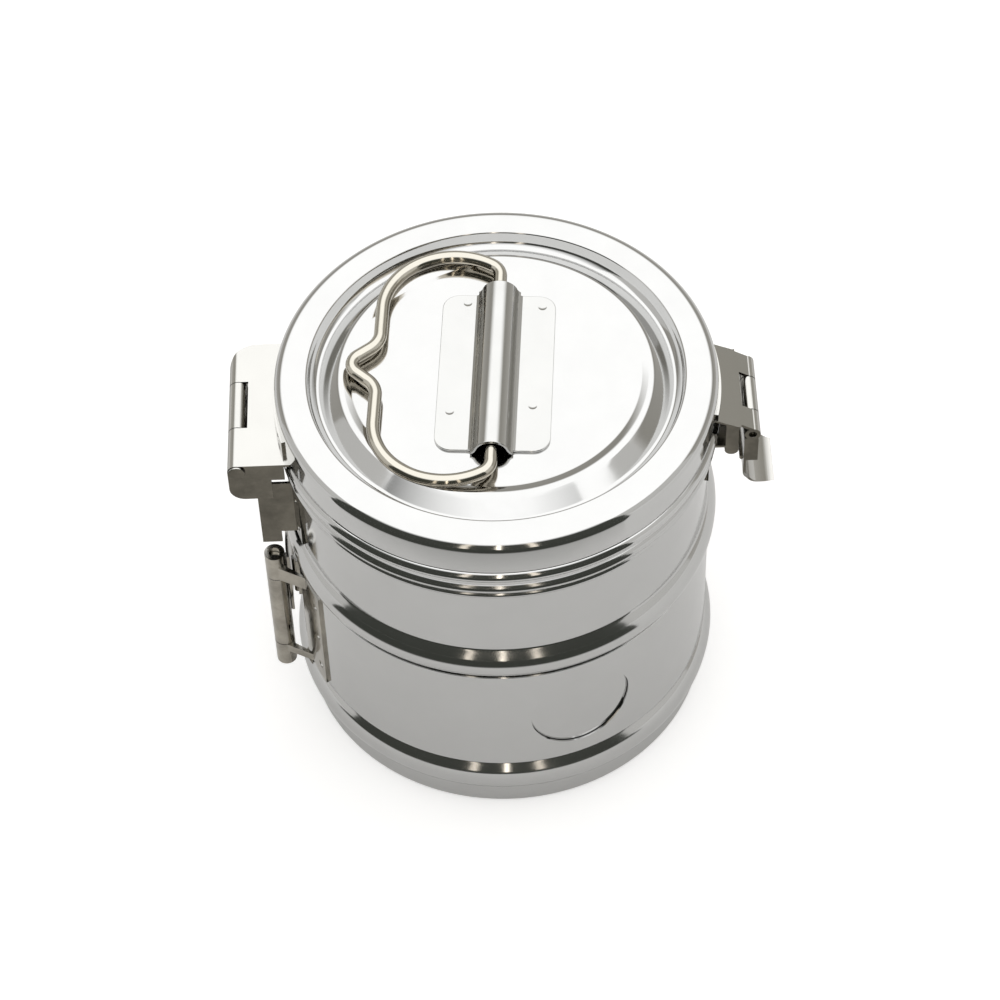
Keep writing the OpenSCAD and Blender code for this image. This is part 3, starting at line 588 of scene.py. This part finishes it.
def buildDrum(s):
    bm = bmesh.new()
    wall, sheet, neck, edge, hold = s["wall"], s["sheet"], s["neck"], s["edge"], s["ridgeHold"]
    lip = sheet / 2
    flat = wall - edge
    last = penStart(bm, 0, s["recess"])
    last = penLine(bm, last, s["recessEnd"], s["recess"])
    last = penLine(bm, last, s["footStart"], 0)
    last = penLine(bm, last, flat, 0)
    last = penArc(bm, last, flat, edge, 90, 10)
    for z, rise, wide in s["beads"]:
        last = penBead(bm, last, wall, z, rise, wide, 16)
    for z, rise, wide in s["ridges"]:
        last = penBead(bm, last, wall, z, rise, wide, 12, hold)
    last = penLine(bm, last, neck, s["step"], hold)
    last = penLine(bm, last, neck, s["mouth"] - lip)
    last = penArc(bm, last, neck - lip, s["mouth"] - lip, 180, 6)
    last = penLine(bm, last, neck - sheet, s["innerStep"][0])
    last = penLine(bm, last, wall - sheet, s["innerStep"][1], hold)
    for z, rise, wide in reversed(s["beads"]):
        last = penHollow(bm, last, wall, sheet, z, rise, wide, 12)
    last = penLine(bm, last, wall - sheet, edge)
    last = penArc(bm, last, flat, edge, -90, 8)
    last = penLine(bm, last, s["footStart"] + lip, sheet)
    last = penLine(bm, last, s["recessEnd"] + lip, s["recess"] + sheet)
    penLine(bm, last, 0, s["recess"] + sheet)
    spinRound(bm, s["around"])
    softenRings(bm, [(s["recessEnd"], s["recess"]) + s["recessSoft"], (s["footStart"], 0) + s["footSoft"]]
        + [(wall, z + side * wide / 2) + s["beadSoft"] for z, rise, wide in s["beads"] for side in (-1, 1)])
    return finishPiece(bm, "drumWall", "drum_steel", "drum", ["drum_shell"], 50)


def ventSpots(s):
    # two groups of holes on opposite sides, in rows that make a hexagon
    spots = []
    rings, pitch = s["ventRings"], s["ventPitch"]
    for opposite in (0, 180):
        for row in range(-rings, rings + 1):
            count = 2 * rings + 1 - abs(row)
            z = s["ventHeight"] + row * pitch * math.sin(math.radians(60))
            for k in range(count):
                along = math.degrees((k - (count - 1) / 2) * pitch / s["wall"])
                spots.append((s["ventTurn"] + opposite + along, z))
    return spots


drumWall = buildDrum(drumSettings)
boreRound(drumWall, ventSpots(drumSettings), drumSettings["wall"], drumSettings["ventHole"],
    drumSettings["ventReach"], drumSettings["ventSides"])
print("drum built", len(drumWall.data.polygons))


# vent band

bandSettings = {"inner": 75.3, "sheet": 0.6, "low": 27.0, "high": 80.4, "edge": 0.25, "hold": 0.6,
    "clasp": -167.3, "split": 5.0, "around": 300,
    "window": 38.0, "windowTurn": -69.3, "middle": 53.5, "windowReach": 16, "windowSides": 128}


def buildBand(s):
    bm = bmesh.new()
    inner, low, high, edge = s["inner"], s["low"], s["high"], s["edge"]
    outer = inner + s["sheet"]
    first = penStart(bm, inner, low)
    last = penLine(bm, first, outer - edge, low)
    last = penArc(bm, last, outer - edge, low + edge, 90, 3)
    last = penLine(bm, last, outer, high - edge, s["hold"])
    last = penArc(bm, last, outer - edge, high - edge, 90, 3)
    last = penLine(bm, last, inner, high)
    bm.edges.new((last, first))
    bmesh.ops.edgeloop_fill(bm, edges=bm.edges)
    section = list(bm.faces)
    bmesh.ops.rotate(bm, verts=bm.verts, cent=(0, 0, 0), matrix=rotation(s["clasp"] + s["split"] / 2))
    bmesh.ops.spin(bm, geom=section, cent=(0, 0, 0), axis=(0, 0, 1),
        angle=math.radians(360 - s["split"]), steps=s["around"])
    closeTurns(bm)
    return finishPiece(bm, "ventBandSheet", "band_steel", "band", ["vent_band"])


ventBandSheet = buildBand(bandSettings)
windowSpots = [(bandSettings["windowTurn"] + opposite, bandSettings["middle"]) for opposite in (0, 180)]
boreRound(ventBandSheet, windowSpots, drumSettings["wall"], bandSettings["window"],
    bandSettings["windowReach"], bandSettings["windowSides"])
print("vent band built", len(ventBandSheet.data.polygons))


# lid

lidSettings = {"wall": 77.6, "sheet": 0.8, "top": 158.5, "shoulder": 3.5, "low": 137.5, "around": 256,
    "beadZ": 141.5, "beadR": 2.6, "beadOut": 1.4, "beadHold": 0.4, "wallHold": 0.6,
    # the groove: outer edge, bend, floor; each as radius and height, and how each is softened
    "groove": ((66.0, 158.5), (65.0, 154.6), (62.5, 152.6)),
    "grooveSoft": ((0.7, 4), (0.9, 4), (1.0, 5)),
    # the hill inside it: centre, radius and arc of its crest, then the panel's edge
    "hill": (54.2, 155.4, 2.6, 38.0),
    "panel": ((53.1, 157.9), (51.1, 157.1), (50.5, 157.0)),
    "probeZ": 150}


def buildLid(s):
    bm = bmesh.new()
    wall, beadZ, beadR = s["wall"], s["beadZ"], s["beadR"]
    inward = beadR - s["beadOut"]
    reach = math.sqrt(beadR ** 2 - inward ** 2)
    half = math.degrees(math.atan2(reach, inward))
    last = penStart(bm, wall, s["low"])
    last = penLine(bm, last, wall, beadZ - reach, s["beadHold"])
    last = penArc(bm, last, wall - inward, beadZ, 2 * half, 16)
    last = penLine(bm, last, wall, s["top"] - s["shoulder"], s["wallHold"])
    last = penArc(bm, last, wall - s["shoulder"], s["top"] - s["shoulder"], 90, 12)
    for r, z in s["groove"]:
        last = penLine(bm, last, r, z)
    r, z, size, arc = s["hill"]
    start = math.radians(90 - arc)
    last = penLine(bm, last, r + size * math.cos(start), z + size * math.sin(start))
    last = penArc(bm, last, r, z, arc, 5)
    for r, z in s["panel"]:
        last = penLine(bm, last, r, z)
    penLine(bm, last, 0, s["panel"][-1][1])
    spinRound(bm, s["around"])
    faceOut(bm, (wall, 0, s["probeZ"]))
    softenRings(bm, [point + soft for point, soft in zip(s["groove"], s["grooveSoft"])])
    bmesh.ops.solidify(bm, geom=bm.faces, thickness=s["sheet"])
    bmesh.ops.recalc_face_normals(bm, faces=bm.faces)
    return finishPiece(bm, "lidSheet", "lid_steel", "lid", ["lid_shell"])


lidSheet = buildLid(lidSettings)
print("lid built", len(lidSheet.data.polygons))


# folding handle

handleSettings = {"wire": 2.35, "sides": 28, "axleZ": 160.7, "turn": -4.0, "axle": 42.4, "axleHold": 1,
    # from the axle to the tip: bends as radius and angle, or as radius where the angle follows
    "elbow": (6.0, 58.0), "lobe": 25.0, "tipOut": (9.0, 50.0), "tipRun": 5.2, "tipIn": 5.0, "hold": 0.6}


def buildHandle(s):
    # one round wire: a ring of points carried along the bends, then mirrored
    bm = bmesh.new()
    made = bmesh.ops.create_circle(bm, segments=s["sides"], radius=s["wire"])
    bmesh.ops.rotate(bm, verts=made["verts"], cent=(0, 0, 0), matrix=rotation(90, "X"))
    ring = list(bm.edges)

    def pick(geom):
        return [g for g in geom if isinstance(g, bmesh.types.BMEdge)]

    def middle(edges):
        verts = {v for e in edges for v in e.verts}
        return sum((v.co for v in verts), Vector()) / len(verts)

    def straight(edges, along, length, hold):
        for step in (hold, length - 2 * hold, hold):
            out = bmesh.ops.extrude_edge_only(bm, edges=edges)["geom"]
            bmesh.ops.translate(bm, vec=along * step, verts=vertsOf(out))
            edges = pick(out)
        return edges

    def bend(edges, towards, radius, angle, steps):
        # towards is the unit vector from the wire to the bend's centre
        centre = middle(edges) + towards * radius
        out = bmesh.ops.spin(bm, geom=edges, cent=centre, axis=(0, 0, 1),
            angle=math.radians(angle), steps=steps)
        return pick(out["geom_last"])

    elbow, elbowTurn = s["elbow"]
    tipOut, tipTurn = s["tipOut"]
    tipIn, run, hold = s["tipIn"], s["tipRun"], s["hold"]
    drop = (tipOut + tipIn) * math.sin(math.radians(tipTurn)) + run * math.cos(math.radians(tipTurn))
    ring = straight(ring, Vector((0, 1, 0)), s["axle"], s["axleHold"])
    ring = bend(ring, Vector((-1, 0, 0)), elbow, elbowTurn, 12)
    at = math.radians(elbowTurn)
    ring = bend(ring, Vector((-math.cos(at), -math.sin(at), 0)), s["lobe"], 180 - elbowTurn, 32)
    ring = straight(ring, Vector((0, -1, 0)), middle(ring).y - drop, hold)
    ring = bend(ring, Vector((-1, 0, 0)), tipOut, -tipTurn, 12)
    at = math.radians(-tipTurn)
    ring = straight(ring, Vector((math.sin(at), -math.cos(at), 0)), run, hold)
    bend(ring, Vector((math.cos(at), math.sin(at), 0)), tipIn, tipTurn, 12)
    bmesh.ops.mirror(bm, geom=bm.verts[:] + bm.edges[:] + bm.faces[:], matrix=Matrix.Identity(4),
        merge_dist=0.001, axis="Y")
    bmesh.ops.remove_doubles(bm, verts=bm.verts, dist=0.01)
    bmesh.ops.recalc_face_normals(bm, faces=bm.faces)
    place = Matrix.Translation((0, 0, s["axleZ"])) @ rotation(s["turn"], "Z", 4)
    bmesh.ops.transform(bm, matrix=place, verts=bm.verts)
    return finishPiece(bm, "bentWireHandle", "wire_steel", "handle", ["handle_wire"], 60)


bentWireHandle = buildHandle(handleSettings)
print("handle built", len(bentWireHandle.data.polygons))


# saddle of the handle: one pressed sheet, arched over the wire

saddleSettings = {"long": 71.0, "wide": 40.0, "sheet": 1.0, "corner": 6.0, "top": 158.0, "turn": -4.0,
    "arch": 6.5, "archLong": 74.0, "foot": 2.8, "cornerStop": 7.5, "footStop": 0.6,
    "ease": 0.2, "easeAngle": 60, "sharp": 14,
    # spot weld marks: width and depth, then their places
    "dimple": (3.0, 0.25), "welds": ((-11.2, 31.7), (15.3, 30.4), (-15.2, -18.5), (13.4, -15.4))}


def archLip(bm, s, side, across):
    # the edges of the arch at one end of the plate
    y = side * s["long"] / 2
    on = {v for v in bm.verts if abs(v.co.y - y) < 0.01 and abs(v.co.x) < across - 0.2
        and v.co.z > s["top"] + 0.1}
    return [e for e in bm.edges if on.issuperset(e.verts)]


def buildSaddle(s):
    bm = bmesh.new()
    half, foot, arch, top = s["wide"] / 2, s["foot"], s["arch"], s["top"]
    rise = math.degrees(math.acos(foot / (arch + foot)))
    across = (arch + foot) * math.sin(math.radians(rise))
    # the section runs from the left edge of the plate over the arch to the right
    last = bm.verts.new((-half, 0, top))
    last = penFlat(bm, last, -across, top, s["cornerStop"], s["footStop"])
    last = penArc(bm, last, -across, top + foot, rise, 5)
    last = penArc(bm, last, 0, top, -2 * rise, 30)
    last = penArc(bm, last, across, top + foot, rise, 5)
    penFlat(bm, last, half, top, s["footStop"], s["cornerStop"])
    bmesh.ops.translate(bm, vec=(0, -s["long"] / 2, 0), verts=bm.verts)
    made = bmesh.ops.extrude_edge_only(bm, edges=bm.edges)["geom"]
    bmesh.ops.translate(bm, vec=(0, s["long"], 0), verts=vertsOf(made))
    corners = [v for v in bm.verts if abs(abs(v.co.x) - half) < 0.01]
    roundOff(bm, corners, s["corner"], 8, "VERTICES")
    for side in (-1, 1):
        out = bmesh.ops.extrude_edge_only(bm, edges=archLip(bm, s, side, across))["geom"]
        bmesh.ops.translate(bm, vec=(0, side * (s["archLong"] - s["long"]) / 2, 0), verts=vertsOf(out))
    bmesh.ops.recalc_face_normals(bm, faces=bm.faces)
    if sum(f.normal.z for f in bm.faces) < 0:
        bmesh.ops.reverse_faces(bm, faces=bm.faces)
    bmesh.ops.solidify(bm, geom=bm.faces, thickness=s["sheet"])
    bmesh.ops.recalc_face_normals(bm, faces=bm.faces)
    roundOff(bm, creases(bm, s["easeAngle"]), s["ease"], 3)
    bmesh.ops.transform(bm, matrix=rotation(s["turn"], "Z", 4), verts=bm.verts)
    return finishPiece(bm, "pressedSaddle", "saddle_steel", "lid",
        ["handle_saddle", "saddle_welds"], s["sharp"])


def dimpleSaddle(piece, s):
    # shallow spot weld marks, pressed into the plate
    bm = bmesh.new()
    wide, depth = s["dimple"]
    radius = arcRadius(depth, wide)
    for x, y in s["welds"]:
        made = bmesh.ops.create_uvsphere(bm, u_segments=48, v_segments=48, radius=radius)
        place = rotation(s["turn"], "Z", 4) @ Matrix.Translation((x, y, s["top"] + radius - depth))
        bmesh.ops.transform(bm, matrix=place, verts=made["verts"])
    subtractShape(piece, bm, s["sharp"])


pressedSaddle = buildSaddle(saddleSettings)
dimpleSaddle(pressedSaddle, saddleSettings)
print("saddle built", len(pressedSaddle.data.polygons))


# bent sheet fittings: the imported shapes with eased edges, as tumbled and buffed parts have

fittingSettings = {
    # node: piece, body, edge radius mm
    "hinge_lid_leaf": ("hingeLeaf", "lid", 0.22),
    "hinge_body_bracket": ("hingeBracket", "drum", 0.22),
    "hinge_pin": ("hingePin", "lid", 0.2),
    "latch_bracket": ("latchBracket", "lid", 0.18),
    "latch_pin": ("latchPin", "lid", 0.15),
    "latch_lever": ("latchLever", "lever", 0.2),
    "latch_keeper": ("latchKeeper", "drum", 0.2),
    "clasp_leaf": ("claspLeaf", "band", 0.18),
    "clasp_lever": ("claspLever", "clasp", 0.2),
    "clasp_catch": ("claspCatch", "band", 0.18),
    "clasp_pin": ("claspPin", "band", 0.2),
}

# points merge under these distances, before and after easing; edges under the flat angle go,
# and those over the crease angle are eased
easeSettings = {"merge": 0.004, "mergeLast": 0.002, "flat": 0.6, "crease": 32, "weight": 90}

# the latch bracket's plate, which runs down from the lid to the barrel in one slope:
# the part of the bracket that moves, then the slope and how far it ends below the level plate
slopeSettings = {"x": (75, 84.2), "z": (144.0, 145.2), "slope": 0.469, "end": 84, "drop": 0.6}


def slopePlate(bm, s):
    left, right = s["x"]
    low, high = s["z"]
    for v in bm.verts:
        if left < v.co.x < right and low < v.co.z < high:
            v.co.z += s["slope"] * (s["end"] - v.co.x) - s["drop"]


def easeFitting(node, name, body, size, s):
    bm = bmesh.new()
    bm.from_mesh(frame["nodes"][node].data)
    bmesh.ops.scale(bm, vec=(1000, 1000, 1000), verts=bm.verts)
    bmesh.ops.remove_doubles(bm, verts=bm.verts, dist=s["merge"])
    bmesh.ops.dissolve_limit(bm, angle_limit=math.radians(s["flat"]), use_dissolve_boundaries=False,
        verts=bm.verts, edges=bm.edges, delimit=set())
    roundOff(bm, creases(bm, s["crease"]), size, 3, clamp=True)
    bmesh.ops.remove_doubles(bm, verts=bm.verts, dist=s["mergeLast"])
    if node == "latch_bracket":
        slopePlate(bm, slopeSettings)
    piece = finishPiece(bm, name, slotOf.get(node, "fitting_steel"), body, [node], s["crease"])
    if node.startswith("clasp"):
        piece.data.materials[0] = finishes["clasp_steel"]
    even = piece.modifiers.new("even", "WEIGHTED_NORMAL")
    even.keep_sharp = True
    even.weight = s["weight"]
    return piece


for node, (name, body, size) in fittingSettings.items():
    piece = easeFitting(node, name, body, size, easeSettings)
    print(name, len(piece.data.polygons))
